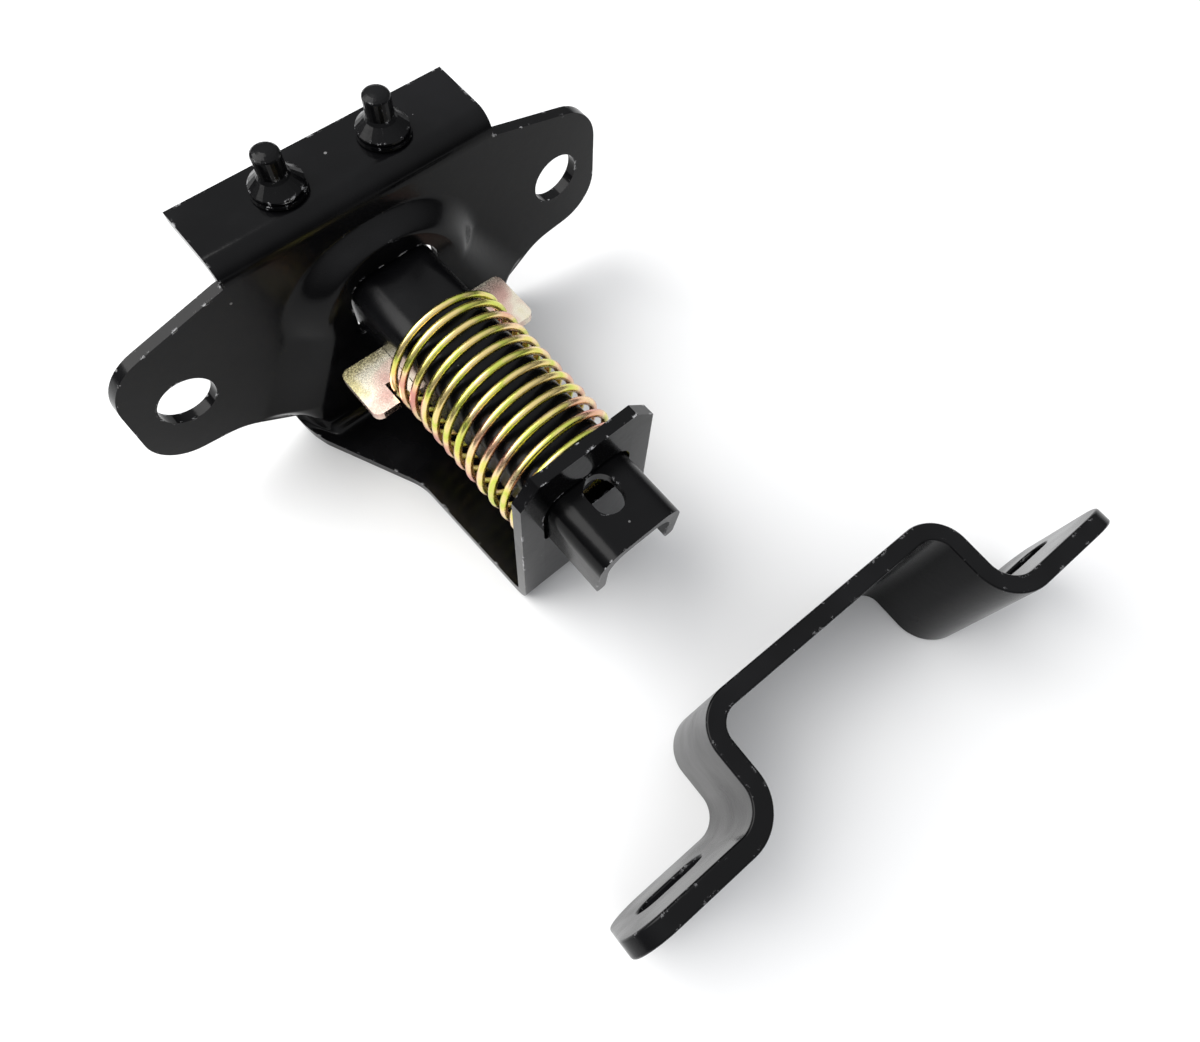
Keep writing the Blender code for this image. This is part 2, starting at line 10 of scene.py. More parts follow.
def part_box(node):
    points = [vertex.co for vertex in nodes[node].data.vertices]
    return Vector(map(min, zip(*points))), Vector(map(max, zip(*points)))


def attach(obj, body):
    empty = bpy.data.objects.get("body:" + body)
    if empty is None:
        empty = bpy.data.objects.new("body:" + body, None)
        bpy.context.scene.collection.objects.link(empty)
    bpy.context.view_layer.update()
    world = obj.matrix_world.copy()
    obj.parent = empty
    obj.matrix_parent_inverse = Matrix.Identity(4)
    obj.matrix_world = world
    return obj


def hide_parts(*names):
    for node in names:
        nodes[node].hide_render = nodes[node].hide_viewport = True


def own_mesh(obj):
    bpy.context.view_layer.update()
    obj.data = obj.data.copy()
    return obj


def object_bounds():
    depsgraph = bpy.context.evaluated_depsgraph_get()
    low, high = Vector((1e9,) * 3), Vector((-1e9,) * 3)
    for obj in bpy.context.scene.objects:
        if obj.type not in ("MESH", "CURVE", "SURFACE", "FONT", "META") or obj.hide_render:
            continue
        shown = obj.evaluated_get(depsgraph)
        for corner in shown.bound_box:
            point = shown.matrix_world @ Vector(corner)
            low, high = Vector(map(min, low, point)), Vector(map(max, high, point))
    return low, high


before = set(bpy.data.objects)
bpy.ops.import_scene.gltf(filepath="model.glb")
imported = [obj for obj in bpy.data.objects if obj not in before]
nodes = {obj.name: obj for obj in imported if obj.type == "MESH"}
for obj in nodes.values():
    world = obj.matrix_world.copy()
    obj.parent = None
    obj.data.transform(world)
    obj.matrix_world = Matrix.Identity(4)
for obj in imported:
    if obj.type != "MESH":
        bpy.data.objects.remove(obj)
cad_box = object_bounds()
MM = 0.001


# ---------------------------------------------------------------- bracket
# One stamping of 2 mm steel sheet: flange, ears, drawn boss, tongue and upturned plate.
# It is blanked, formed and pierced, then dipped in semi-gloss black paint, which thins over
# the sheared edges, pools as faint orange peel on the flats and picks up specks of dust; the light grey
# edge marks are partly bare steel and partly painted glints.


def add(tree, kind, **sockets):
    """A node with some of its inputs set; an input may be a value or another node's output."""
    node = tree.nodes.new(kind)
    for name, value in sockets.items():
        socket = node.inputs[int(name[2:]) if name.startswith("in") else name.replace("_", " ")]
        if isinstance(value, bpy.types.NodeSocket):
            tree.links.new(value, socket)
        else:
            socket.default_value = value
    return node


def math_node(tree, operation, first, second=0.0):
    node = add(tree, "ShaderNodeMath", in0=first, in1=second)
    node.operation = operation
    return node.outputs[0]


def spread(tree, value, low, high, to_low=0.0, to_high=1.0):
    """Maps low..high onto to_low..to_high, smoothly and without going past either."""
    node = tree.nodes.new("ShaderNodeMapRange")
    node.interpolation_type = "SMOOTHSTEP"
    tree.links.new(value, node.inputs[0])
    for index, number in enumerate((low, high, to_low, to_high), start=1):
        node.inputs[index].default_value = number
    return node.outputs[0]


def cloud(tree, place, scale, detail=3.0, rough=0.55):
    """Soft mottling; scale counts the blotches to a metre."""
    node = add(tree, "ShaderNodeTexNoise", Vector=place, Scale=scale, Detail=detail, Roughness=rough)
    return node.outputs["Fac"]


def blend_colour(tree, share, first, second):
    node = tree.nodes.new("ShaderNodeMix")
    node.data_type = "RGBA"
    for socket, value in ((node.inputs[0], share), (node.inputs[6], first), (node.inputs[7], second)):
        if isinstance(value, bpy.types.NodeSocket):
            tree.links.new(value, socket)
        else:
            socket.default_value = value
    return node.outputs[2]


def start_material(name):
    """A new material, its node tree, its Principled shader and the object's own coordinates."""
    mat = bpy.data.materials.new(name)
    mat.use_nodes = True
    tree = mat.node_tree
    shader = tree.nodes["Principled BSDF"]
    place = tree.nodes.new("ShaderNodeTexCoord").outputs["Object"]
    return mat, tree, shader, place


def edge_wear_and_glints(tree, radius):
    """Near 1 on outside edges and 0 on flats: how far a rounded normal turns from the true one. It places
    the chipped edge marks and the painted glints.
    """
    rounded = add(tree, "ShaderNodeBevel", Radius=radius)
    rounded.samples = 6
    true = tree.nodes.new("ShaderNodeNewGeometry").outputs["Normal"]
    dot = add(tree, "ShaderNodeVectorMath", in0=rounded.outputs[0], in1=true)
    dot.operation = "DOT_PRODUCT"
    return spread(tree, dot.outputs["Value"], 0.997, 0.94)


PAINT_BLACK = (0.0018, 0.0018, 0.0021, 1.0)
PAINT_GREY = (0.0045, 0.0045, 0.0052, 1.0)
# Light grey of bare steel on worn edges. The same grey also stands in for painted glints of light on the
# edges and in the fillets.
BARE_STEEL_AND_GLINT = (0.42, 0.42, 0.43, 1.0)
DUST = (0.30, 0.30, 0.30, 1.0)
PAINT_SHINE = 0.14
SPECK_SHARE = 0.16
WORN_AND_GLINT_BAND = 0.65 * MM


def black_paint(name, gloss, wear_and_glints=0.5, specks=1.0):
    """Dipped black paint: mottled tone and gloss, orange peel, dust specks, and light grey marks along
    edges that are partly chipped paint and partly painted glints.
    """
    mat, tree, shader, place = start_material(name)
    broad = cloud(tree, place, 70.0)
    peel = cloud(tree, place, 620.0, 2.0)
    grain = cloud(tree, place, 2600.0, 2.0)
    tone = blend_colour(tree, spread(tree, broad, 0.35, 0.7), PAINT_BLACK, PAINT_GREY)

    dots = add(tree, "ShaderNodeTexVoronoi", Vector=place, Scale=330.0)
    chance = add(tree, "ShaderNodeSeparateColor", Color=dots.outputs["Color"]).outputs[0]
    size = spread(tree, chance, 1.0 - SPECK_SHARE, 1.0, 0.0, 0.085)
    speck = math_node(tree, "LESS_THAN", dots.outputs["Distance"], size)
    speck = math_node(tree, "MULTIPLY", speck, 0.55 * specks)
    tone = blend_colour(tree, speck, tone, DUST)

    # The light grey marks along the edges are partly bare steel where the paint is worn through and
    # partly painted glints and highlights.
    chips_and_glints = spread(tree, cloud(tree, place, 560.0, 4.0, 0.7), 0.62 - 0.10 * wear_and_glints, 0.68 - 0.10 * wear_and_glints)
    rubbed_and_glinting = math_node(tree, "MULTIPLY", edge_wear_and_glints(tree, WORN_AND_GLINT_BAND), chips_and_glints)
    tone = blend_colour(tree, math_node(tree, "MULTIPLY", rubbed_and_glinting, 0.9), tone, BARE_STEEL_AND_GLINT)
    tree.links.new(tone, shader.inputs["Base Color"])

    rough = spread(tree, broad, 0.3, 0.75, gloss - 0.04, gloss + 0.10)
    rough = math_node(tree, "ADD", rough, math_node(tree, "MULTIPLY", speck, 0.4))
    tree.links.new(rough, shader.inputs["Roughness"])

    coarse = add(tree, "ShaderNodeBump", Strength=0.16, Distance=0.10 * MM, Height=peel)
    fine = add(tree, "ShaderNodeBump", Strength=0.10, Distance=0.03 * MM, Height=grain)
    tree.links.new(coarse.outputs[0], fine.inputs["Normal"])
    raised = add(tree, "ShaderNodeBump", Strength=0.5, Distance=0.04 * MM, Height=speck)
    tree.links.new(fine.outputs[0], raised.inputs["Normal"])
    tree.links.new(raised.outputs[0], shader.inputs["Normal"])
    shader.inputs["Specular IOR Level"].default_value = PAINT_SHINE
    return mat


sheet_paint = black_paint("black_paint_on_sheet", gloss=0.17)

SHEET = 2.0 * MM
WALL_FRONT = 25.0 * MM
AXIS_HEIGHT = 24.6 * MM
FLANGE_BEND = 3.6 * MM
ROOT_BEND = 3.0 * MM
PLATE_BEND = 1.6 * MM
ROOT_HALF = 24.2 * MM
TONGUE_HALF = 13.2 * MM
TONGUE_LENGTH = 51.3 * MM
TAPER_START = 5.7 * MM
TAPER_END = 24.2 * MM
PLATE_TAPER = 0.9 * MM
PLATE_LEAN = 1.2 * MM
PLATE_HEIGHT = 40.5 * MM
PLATE_CHAMFER = 3.4 * MM
EAR_HOLE_X = 37.5 * MM
EAR_HOLE_R = 4.75 * MM
STUD_HOLE_R = 2.45 * MM
EAR_END = 46.8 * MM
EAR_RISE = 11.2 * MM
EAR_DROP = 11.4 * MM
EAR_SPLAY_TOP = 0.7 * MM
EAR_SPLAY_FOOT = 0.4 * MM
EAR_FOOT_DROP = 2.0 * MM
EAR_TOP_R = 9.0 * MM
EAR_BOTTOM_R = 8.0 * MM
EAR_FOOT_R = 12.0 * MM
EASE_IN = 1.6 * MM
EASE_IN_R = 6.0 * MM
EASE_OUT = 0.8 * MM
EASE_OUT_R = 12.0 * MM
ROOT_FLARE = 0.28
TOP_LEAN_SHARE = 1.1
BOSS_DEPTH = 4.0 * MM
BOSS_FACE_R = 12.6 * MM
BOSS_FOOT_R = 19.5 * MM
BOSS_FOOT_TUCK = 4.9 * MM
BOSS_FACE_FLARE = 0.42
BOSS_FOOT_FLARE = 0.68
BOSS_EDGE_MARGIN = 0.5 * MM
BOSS_MIN_FLANK = 3.5 * MM
BOSS_SPREAD = 29.0 * MM
BOSS_INSET_SHARE = 0.6
CORE_SHARE = 0.8
SHEARED_EDGE = 0.28 * MM
BEND_STEPS = 12
ROUND_END_STEPS = 24
CORE_COLUMNS = 44
OUTER_COLUMNS = 12
ROW_PITCH = 0.8 * MM

bracket_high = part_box("bracket")[1]
flange_top = bracket_high.z
flange_depth = bracket_high.y - WALL_FRONT
flange_half = 24.3 * MM
wall_top = flange_top - FLANGE_BEND
wall_foot = SHEET + ROOT_BEND


def rounded_path(corners, bend_steps=BEND_STEPS):
    """Points along straight runs joined by arcs. Each corner is (a, b, radius)."""
    points = [Vector(corners[0][:2])]
    for before, corner, after in zip(corners, corners[1:], corners[2:]):
        here, radius = Vector(corner[:2]), corner[2]
        if not radius:
            points.append(here)
            continue
        back = (Vector(before[:2]) - here).normalized()
        ahead = (Vector(after[:2]) - here).normalized()
        half = back.angle(ahead) / 2
        centre = here + (back + ahead).normalized() * radius / math.sin(half)
        start = here + back * radius / math.tan(half) - centre
        sweep = math.pi - 2 * half
        if start.x * back.y - start.y * back.x > 0:
            sweep = -sweep
        for k in range(bend_steps + 1):
            points.append(centre + Matrix.Rotation(sweep * k / bend_steps, 2) @ start)
    points.append(Vector(corners[-1][:2]))
    return points


def finely(points, pitch):
    """The same run of points with more of them on its long straights."""
    fine = [points[0]]
    for before, here in zip(points, points[1:]):
        count = max(1, math.ceil((here - before).length / pitch))
        fine += [before.lerp(here, k / count) for k in range(1, count + 1)]
    return fine


def ease(t):
    t = min(max(t, 0.0), 1.0)
    return t * t * (3 - 2 * t)


def boss_lift(x, z, edge, inset):
    """How far the drawn boss stands forward of the wall at a point."""
    up = z - AXIS_HEIGHT
    if up >= 0:
        reach = math.hypot(x, up)
        rise = (up / reach) ** 2 if reach else 1.0
        face = BOSS_FACE_R
        foot = BOSS_FOOT_R - BOSS_FOOT_TUCK * rise
    else:
        reach = abs(x)
        foot = min(BOSS_FOOT_R - BOSS_FOOT_FLARE * up, edge - BOSS_EDGE_MARGIN)
        face = min(BOSS_FACE_R - BOSS_FACE_FLARE * up, foot - BOSS_MIN_FLANK)
    return BOSS_DEPTH * (1 - ease((reach + inset - face) / (foot - face)))


def profile_rows():
    """(y behind the wall's front, z, half width) from the flange's rear edge round to the plate's top."""
    rows = [(y, flange_top, flange_half) for y in (flange_depth, flange_depth * 0.6)]
    for k in range(BEND_STEPS):
        turn = math.pi / 2 * k / BEND_STEPS
        drop = FLANGE_BEND * math.cos(turn)
        rows.append((FLANGE_BEND * (1 - math.sin(turn)), wall_top + drop, flange_half))
    ear = rounded_path(
        [
            (flange_half, wall_top, 0),
            (EAR_END - EAR_SPLAY_TOP, AXIS_HEIGHT + EAR_RISE, EAR_TOP_R),
            (EAR_END + EAR_SPLAY_FOOT, AXIS_HEIGHT - EAR_DROP, EAR_BOTTOM_R),
            (EAR_HOLE_X - EAR_HOLE_R, AXIS_HEIGHT - EAR_DROP - EAR_FOOT_DROP, EAR_FOOT_R),
            (ROOT_HALF, wall_foot, 0),
        ]
    )
    rows += [(0.0, point.y, point.x) for point in finely(ear, ROW_PITCH)]
    for k in range(1, BEND_STEPS + 1):
        turn = math.pi / 2 * k / BEND_STEPS
        y = -ROOT_BEND * (1 - math.cos(turn))
        rows.append((y, wall_foot - ROOT_BEND * math.sin(turn), ROOT_HALF + ROOT_FLARE * y))
    taper = rounded_path(
        [
            (ROOT_HALF, 0, 0),
            (ROOT_HALF - EASE_IN, TAPER_START, EASE_IN_R),
            (TONGUE_HALF + EASE_OUT, TAPER_END, EASE_OUT_R),
            (TONGUE_HALF, TONGUE_LENGTH - PLATE_BEND, 0),
        ]
    )
    for point in finely(taper, 1.5 * ROW_PITCH):
        if point.y > ROOT_BEND + ROW_PITCH:
            rows.append((-point.y, SHEET, point.x))
    for k in range(1, BEND_STEPS + 1):
        turn = math.pi / 2 * k / BEND_STEPS
        y = -TONGUE_LENGTH + PLATE_BEND * (1 - math.sin(turn))
        rows.append((y, SHEET + PLATE_BEND * (1 - math.cos(turn)), TONGUE_HALF))
    top = TONGUE_HALF - PLATE_TAPER
    rows.append((PLATE_LEAN - TONGUE_LENGTH, PLATE_HEIGHT - PLATE_CHAMFER, top))
    rows.append((PLATE_LEAN * TOP_LEAN_SHARE - TONGUE_LENGTH, PLATE_HEIGHT, top - PLATE_CHAMFER))
    return rows


def turned_inward(rows, k):
    """The way through the sheet at a row, as (y, z), lengthened where the sheet bends."""
    ways = []
    for before, after in ((k - 1, k), (k, k + 1)):
        if before >= 0 and after < len(rows):
            run = (Vector(rows[after][:2]) - Vector(rows[before][:2])).normalized()
            ways.append(Vector((-run.y, run.x)))
    mean = sum(ways, Vector((0.0, 0.0))).normalized()
    return mean / mean.dot(ways[0])


def row_places(half):
    """Places across a row: closely spaced over the boss, wider outside it."""
    core = min(BOSS_SPREAD, half * CORE_SHARE)
    side = [core * k / CORE_COLUMNS for k in range(1, CORE_COLUMNS + 1)]
    side += [core + (half - core) * k / OUTER_COLUMNS for k in range(1, OUTER_COLUMNS + 1)]
    return [-x for x in reversed(side)] + [0.0] + side


def pushed(outline, start, end, upright=False):
    """A solid made of a closed outline pushed along Y, or along Z where it is upright."""
    shape = bmesh.new()
    spots = [(p[0], p[1], start) if upright else (p[0], start, p[1]) for p in outline]
    way = (0, 0, end - start) if upright else (0, end - start, 0)
    face = shape.faces.new([shape.verts.new(spot) for spot in spots])
    moved = bmesh.ops.extrude_face_region(shape, geom=[face])["geom"]
    bmesh.ops.translate(shape, vec=way, verts=[v for v in moved if isinstance(v, bmesh.types.BMVert)])
    bmesh.ops.recalc_face_normals(shape, faces=shape.faces)
    mesh = bpy.data.meshes.new("punch")
    shape.to_mesh(mesh)
    shape.free()
    punch = bpy.data.objects.new("punch", mesh)
    bpy.context.scene.collection.objects.link(punch)
    return punch


def pierce(piece, punches):
    """Cuts the punches out of a piece for good and clears them away."""
    for punch in punches:
        cut = piece.modifiers.new("pierced", "BOOLEAN")
        cut.operation = "DIFFERENCE"
        cut.solver = "EXACT"
        cut.object = punch
    bpy.context.view_layer.update()
    pierced = bpy.data.meshes.new_from_object(piece.evaluated_get(bpy.context.evaluated_depsgraph_get()))
    piece.modifiers.clear()
    piece.data = pierced
    for punch in punches:
        bpy.data.objects.remove(punch)


def slot_of(length, width, x, y, upright=False):
    """A slot's outline with half-round ends; a hole where its length is its width."""
    spots = []
    count = ROUND_END_STEPS
    for end in (1, -1):
        for k in range(count + 1):
            turn = math.pi * (k / count - end / 2)
            run = end * (length - width) / 2 + width / 2 * math.cos(turn)
            side = width / 2 * math.sin(turn)
            spots.append((x + side, y + run) if upright else (x + run, y + side))
    return spots if length > width else spots[:count] + spots[count + 1 : -1]


rows = profile_rows()
skin = bmesh.new()
fade = TAPER_END - ROOT_BEND
faces = []
for depth in (0.0, SHEET):
    grid = []
    for k, (y, z, half) in enumerate(rows):
        way = turned_inward(rows, k)
        line = []
        for x in row_places(half):
            lift = 0.0
            if -TAPER_END < y <= 0.0 and z <= wall_top:
                lift = boss_lift(x, z, half, depth * BOSS_INSET_SHARE)
                lift *= 1 - ease((-y - ROOT_BEND) / fade)
            spot = (x, WALL_FRONT + y + way.x * depth - lift, z + way.y * depth)
            line.append(skin.verts.new(spot))
        grid.append(line)
    faces.append(grid)
    for upper, lower in zip(grid, grid[1:]):
        for k in range(len(upper) - 1):
            skin.faces.new((upper[k], lower[k], lower[k + 1], upper[k + 1]))
front, rear = faces
rims = [(front[0], rear[0]), (front[-1], rear[-1])]
rims += [([line[k] for line in front], [line[k] for line in rear]) for k in (0, -1)]
for near, far in rims:
    for k in range(len(near) - 1):
        skin.faces.new((near[k], near[k + 1], far[k + 1], far[k]))
bmesh.ops.recalc_face_normals(skin, faces=skin.faces)
stamping_mesh = bpy.data.meshes.new("bracket_stamping")
skin.to_mesh(stamping_mesh)
skin.free()
stamping = bpy.data.objects.new("bracket_stamping", stamping_mesh)
bpy.context.scene.collection.objects.link(stamping)

BOLT_HALF = 7.9 * MM
BOLT_RISE = 8.2 * MM
BOLT_DROP = 2.8 * MM
BOLT_CORNER = 4.0 * MM
GUIDE_GAP = 0.6 * MM
GUIDE_FOOT_R = 1.0 * MM
guide_half = BOLT_HALF + GUIDE_GAP
guide_top = AXIS_HEIGHT + BOLT_RISE + GUIDE_GAP
guide_foot = AXIS_HEIGHT - BOLT_DROP - GUIDE_GAP
arch = rounded_path(
    [
        (0, guide_foot, 0),
        (guide_half, guide_foot, GUIDE_FOOT_R),
        (guide_half, guide_top, BOLT_CORNER + GUIDE_GAP),
        (-guide_half, guide_top, BOLT_CORNER + GUIDE_GAP),
        (-guide_half, guide_foot, GUIDE_FOOT_R),
        (0, guide_foot, 0),
    ]
)[:-1]
plate_rear = WALL_FRONT - TONGUE_LENGTH
punches = []
for side in (-1, 1):
    hole = slot_of(2 * EAR_HOLE_R, 2 * EAR_HOLE_R, side * EAR_HOLE_X, AXIS_HEIGHT)
    punches.append(pushed(hole, WALL_FRONT - SHEET, WALL_FRONT + 2 * SHEET))
punches.append(pushed(arch, WALL_FRONT - 2 * BOSS_DEPTH, WALL_FRONT + 2 * SHEET))
punches.append(pushed(arch, plate_rear - 2 * SHEET, plate_rear + 2 * SHEET))
for side in ("left", "right"):
    stud_low, stud_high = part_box("stud_ring_" + side)
    middle = (stud_low + stud_high) / 2
    hole = slot_of(2 * STUD_HOLE_R, 2 * STUD_HOLE_R, middle.x, middle.y)
    punches.append(pushed(hole, flange_top - 2 * SHEET, flange_top + SHEET, upright=True))
pierce(stamping, punches)
stamping.data.materials.append(sheet_paint)


def ease_edges(piece, width, segments=3):
    """Shades a piece's curves smooth and rounds its sheared edges."""
    piece.data.shade_smooth()
    piece.data.set_sharp_from_angle(angle=math.radians(35))
    bevel = piece.modifiers.new("eased_edges", "BEVEL")
    bevel.width = width
    bevel.segments = segments
    bevel.limit_method = "ANGLE"
    bevel.angle_limit = math.radians(50)
    bevel.harden_normals = True


ease_edges(stamping, SHEARED_EDGE)
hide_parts("bracket")
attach(stamping, "bracket")


# ---------------------------------------------------------------- studs and their rings
# Two turned steel studs riveted through the flange, each with a coned collar on a flat ring.
# They go through the same paint, which is a little fuller and glossier on the turned pins.

stud_paint = black_paint("black_paint_on_studs", gloss=0.20, wear_and_glints=0.4, specks=0.8)


def dress(name, mat, edge, segments=3):
    """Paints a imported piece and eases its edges."""
    piece = nodes[name]
    piece.data.materials.clear()
    piece.data.materials.append(mat)
    ease_edges(piece, edge, segments)


for side in ("left", "right"):
    dress("stud_" + side, stud_paint, 0.10 * MM, segments=2)
    dress("stud_ring_" + side, stud_paint, 0.12 * MM, segments=2)


# ---------------------------------------------------------------- bolt
# A channel folded from strip, open underneath, with a slot in its nose for the pull.
# It slides in the boss and the plate, so its paint is a little smoother and scuffed in lines; the light
# grey marks on its edges are partly bare steel and partly painted glints.

bolt_paint = black_paint("black_paint_on_bolt", gloss=0.22, wear_and_glints=0.6, specks=0.7)

BOLT_WALL = 1.8 * MM
BOLT_INNER_CORNER = 3.6 * MM
LEG_FOOT = 0.75 * MM
SLOT_WIDTH = 5.0 * MM
SLOT_LENGTH = 6.8 * MM
SLOT_FROM_NOSE = 5.0 * MM
SEAT_GAP = 0.3 * MM
BOLT_EDGE = 0.35 * MM

bolt_low, bolt_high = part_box("bolt")
key_low, key_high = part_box("cross_key")
leg = bolt_low.z
crown = bolt_high.z
section = rounded_path(
    [
        (-BOLT_HALF + BOLT_WALL / 2, leg, 0),
        (-BOLT_HALF, leg, LEG_FOOT),
        (-BOLT_HALF, crown, BOLT_CORNER),
        (BOLT_HALF, crown, BOLT_CORNER),
        (BOLT_HALF, leg, LEG_FOOT),
        (BOLT_HALF - BOLT_WALL, leg, LEG_FOOT),
        (BOLT_HALF - BOLT_WALL, crown - BOLT_WALL, BOLT_INNER_CORNER),
        (BOLT_WALL - BOLT_HALF, crown - BOLT_WALL, BOLT_INNER_CORNER),
        (BOLT_WALL - BOLT_HALF, leg, LEG_FOOT),
        (-BOLT_HALF + BOLT_WALL / 2, leg, 0),
    ]
)[:-1]
channel = pushed(section, bolt_low.y, bolt_high.y)
channel.name = "bolt_channel"
slot_y = bolt_low.y + SLOT_FROM_NOSE + SLOT_LENGTH / 2
nose_slot = slot_of(SLOT_LENGTH, SLOT_WIDTH, 0.0, slot_y, upright=True)
seat_front = key_low.y - SEAT_GAP
seat_rear = key_high.y + SEAT_GAP
key_seat = [(-2 * BOLT_HALF, seat_front), (2 * BOLT_HALF, seat_front)]
key_seat += [(2 * BOLT_HALF, seat_rear), (-2 * BOLT_HALF, seat_rear)]
nose_punches = [pushed(nose_slot, AXIS_HEIGHT, 2 * AXIS_HEIGHT, upright=True)]
nose_punches.append(pushed(key_seat, 0.0, key_high.z + SEAT_GAP, upright=True))
pierce(channel, nose_punches)
channel.data.materials.append(bolt_paint)
ease_edges(channel, BOLT_EDGE)
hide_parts("bolt")
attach(channel, "bolt")


# ---------------------------------------------------------------- cross key
# A flat steel plate under the bolt with two notches for the spring's end.
# It is zinc plated and passivated yellow, which shows pink and cream where the film is thin.


def yellow_zinc(name, rough, stops, patch):
    """Passivated zinc: a metal whose film runs through stops of colour in patches."""
    mat, tree, shader, place = start_material(name)
    film = cloud(tree, place, patch, 2.0, 0.5)
    tilt = add(tree, "ShaderNodeLayerWeight", Blend=0.35).outputs["Facing"]
    mixed = math_node(tree, "ADD", film, math_node(tree, "MULTIPLY", tilt, -0.22))
    ramp = add(tree, "ShaderNodeValToRGB", Fac=spread(tree, mixed, 0.22, 0.62))
    ramp.color_ramp.interpolation = "EASE"
    first, last = ramp.color_ramp.elements
    first.position, first.color = stops[0][0], (*stops[0][1], 1.0)
    last.position, last.color = stops[-1][0], (*stops[-1][1], 1.0)
    for position, colour in stops[1:-1]:
        ramp.color_ramp.elements.new(position).color = (*colour, 1.0)
    tree.links.new(ramp.outputs[0], shader.inputs["Base Color"])
    grain = cloud(tree, place, 3200.0, 2.0)
    tree.links.new(spread(tree, grain, 0.3, 0.7, rough - 0.05, rough + 0.08), shader.inputs["Roughness"])
    bump = add(tree, "ShaderNodeBump", Strength=0.12, Distance=0.02 * MM, Height=grain)
    tree.links.new(bump.outputs[0], shader.inputs["Normal"])
    shader.inputs["Metallic"].default_value = 1.0
    return mat


KEY_FILM = [
    (0.0, (0.66, 0.42, 0.36)),
    (0.35, (0.80, 0.62, 0.52)),
    (0.65, (0.88, 0.82, 0.66)),
    (1.0, (0.74, 0.66, 0.36)),
]
key_zinc = yellow_zinc("yellow_zinc_on_key", 0.22, KEY_FILM, 110.0)
dress("cross_key", key_zinc, 0.25 * MM)


# ---------------------------------------------------------------- spring
# A coil of hard-drawn wire between the plate and the key's notches, both ends closed.
# The wire is zinc plated and passivated: yellow-green and pink bands run round the coil.

WIRE_FILM = [
    (0.0, (0.62, 0.28, 0.24)),
    (0.20, (0.80, 0.48, 0.30)),
    (0.40, (0.88, 0.68, 0.38)),
    (0.60, (0.80, 0.70, 0.20)),
    (0.80, (0.60, 0.66, 0.12)),
    (1.0, (0.84, 0.66, 0.28)),
]
WIRE_R = 0.65 * MM
SPRING_TURNS = 12.25
SPRING_START = math.radians(36)
STEPS_PER_TURN = 48
CLOSED_TURNS = 0.9
CLOSED_RISE = 0.12 * MM
low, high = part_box("spring")
coil_r = (high.z - low.z) / 2 - WIRE_R
axis_z = (high.z + low.z) / 2
front_y = low.y + WIRE_R
travel = high.y - low.y - 2 * WIRE_R


def coil_rise(turn):
    """How far back from its front end the wire has come after so many turns."""
    closed = 2 * WIRE_R + CLOSED_RISE
    if turn < CLOSED_TURNS:
        return closed * turn / CLOSED_TURNS
    if turn > SPRING_TURNS - CLOSED_TURNS:
        return travel - closed * (SPRING_TURNS - turn) / CLOSED_TURNS
    return closed + (travel - 2 * closed) * (turn - CLOSED_TURNS) / (SPRING_TURNS - 2 * CLOSED_TURNS)


wire = bpy.data.curves.new("spring_wire", "CURVE")
wire.dimensions = "3D"
wire.bevel_depth = WIRE_R
wire.bevel_resolution = 5
wire.use_fill_caps = True
line = wire.splines.new("POLY")
steps = round(SPRING_TURNS * STEPS_PER_TURN)
line.points.add(steps)
for k in range(steps + 1):
    turn = SPRING_TURNS * k / steps
    angle = SPRING_START - 2 * math.pi * turn
    line.points[k].co = (
        coil_r * math.cos(angle),
        front_y + coil_rise(turn),
        axis_z + coil_r * math.sin(angle),
        1.0,
    )
wire_object = bpy.data.objects.new("spring_wire", wire)
bpy.context.scene.collection.objects.link(wire_object)
bpy.context.view_layer.update()
wire_shape = wire_object.evaluated_get(bpy.context.evaluated_depsgraph_get())
coil_mesh = bpy.data.meshes.new_from_object(wire_shape)
bpy.data.objects.remove(wire_object)
coil = bpy.data.objects.new("spring_coil", coil_mesh)
bpy.context.scene.collection.objects.link(coil)
coil_mesh.shade_smooth()
coil_mesh.set_sharp_from_angle(angle=math.radians(50))
coil_mesh.materials.clear()
coil_mesh.materials.append(yellow_zinc("yellow_zinc_on_wire", 0.22, WIRE_FILM, 95.0))
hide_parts("spring")
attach(coil, "bracket")
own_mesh(coil)


# ---------------------------------------------------------------- striker
# A strap of 3 mm steel bent into a hat, with a slot in each foot; it stands on its edge.
# Its paint is the same, scuffed on the outer bends and chipped at the ends of the feet; the light grey
# edge marks are partly bare steel and partly painted glints.

striker_paint = black_paint("black_paint_on_striker", gloss=0.20, wear_and_glints=0.35, specks=1.2)

STRAP_SHEET = 2.9 * MM
STRAP_HALF = 49.5 * MM
HAT_HALF = 25.3 * MM
HAT_DEPTH = 16.0 * MM
HAT_BEND = 3.4 * MM
FOOT_BEND = 4.6 * MM
STRAP_END_R = 7.0 * MM
STRAP_SLOT_LENGTH = 12.0 * MM
STRAP_SLOT_WIDTH = 7.0 * MM
STRAP_SLOT_FROM_END = 10.2 * MM
STRAP_SPOT = (12.9 * MM, -78.6 * MM, 0.0)
STRAP_TURN = math.radians(-2.2)
STRAP_BEND_STEPS = 20
STRAP_EDGE = 0.40 * MM
SAME_SPOT = 0.001 * MM

